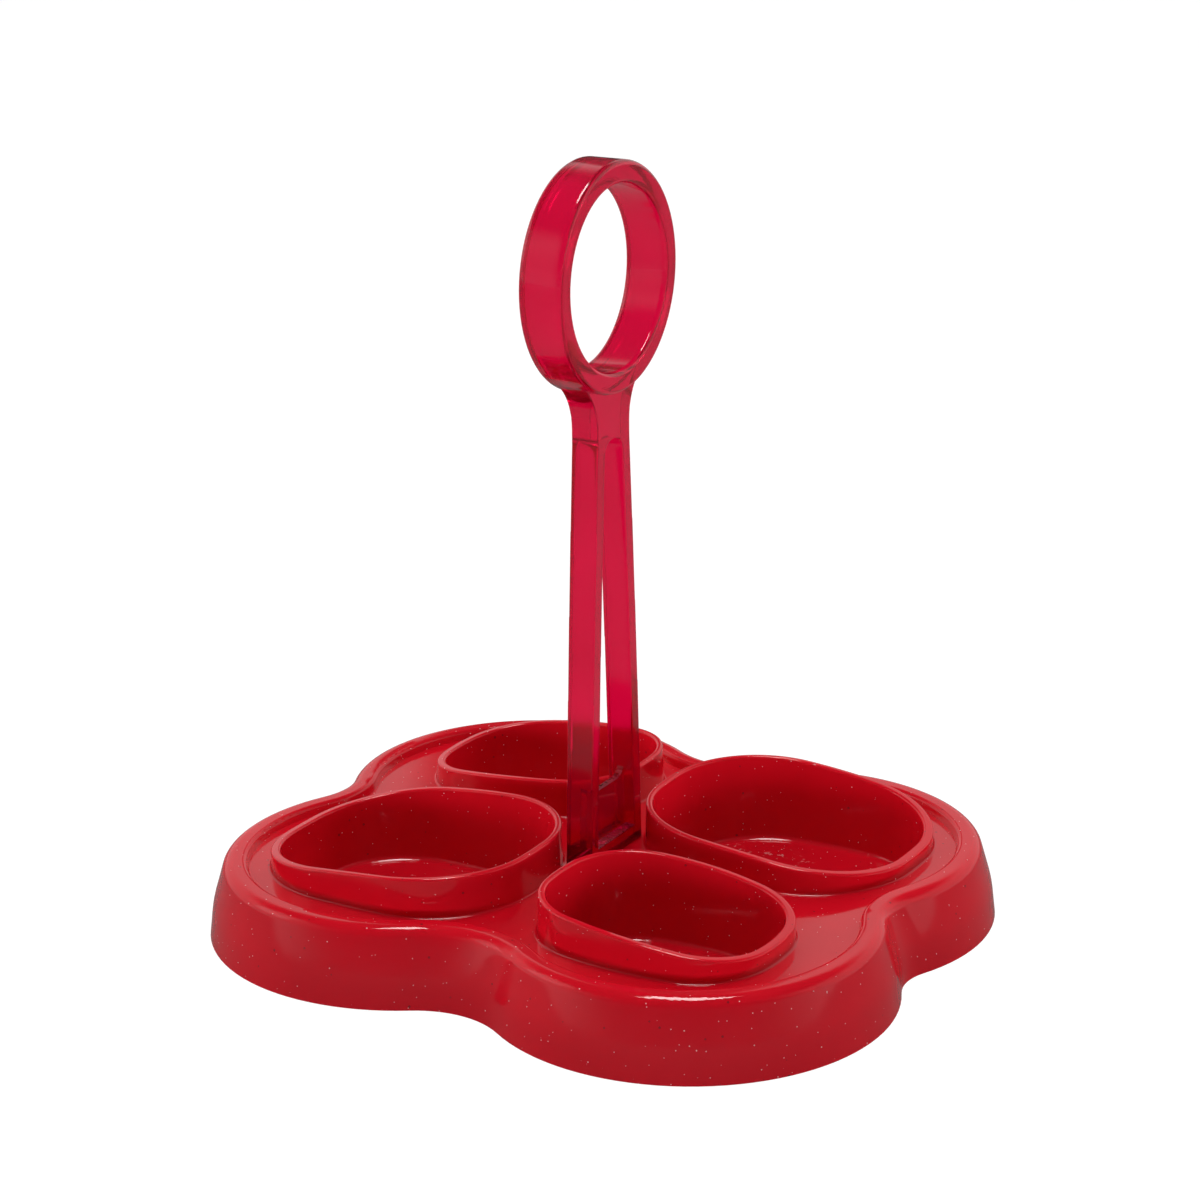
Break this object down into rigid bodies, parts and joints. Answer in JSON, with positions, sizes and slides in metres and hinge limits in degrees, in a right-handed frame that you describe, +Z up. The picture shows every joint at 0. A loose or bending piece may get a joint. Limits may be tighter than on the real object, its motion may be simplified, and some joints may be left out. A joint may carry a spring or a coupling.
{
  "type": "condiment caddy",
  "caption": "Table condiment caddy: low lobed tray with open pockets and an upright pull-out handle ending in a large finger ring.",
  "frame": {"origin": "on the table, under the middle of the base", "axes": "+Z up; X across the width of the handle and the short way of the base; Y through the finger ring and the long way of the base"},
  "size_m": [0.1728, 0.197, 0.2094],
  "materials": {
    "base_plastic": "gloss, with fine pale specks",
    "clear_plastic": "polished, see-through crimson"
  },
  "bodies": {
    "tray": {"base": "base_plastic"},
    "carrier": {"handle": "clear_plastic"}
  },
  "joints": [
    {"name": "handle_pull", "type": "slide", "parent": "tray", "child": "carrier", "axis": [0, 0, 1], "range_m": [0, 0.034]}
  ]
}
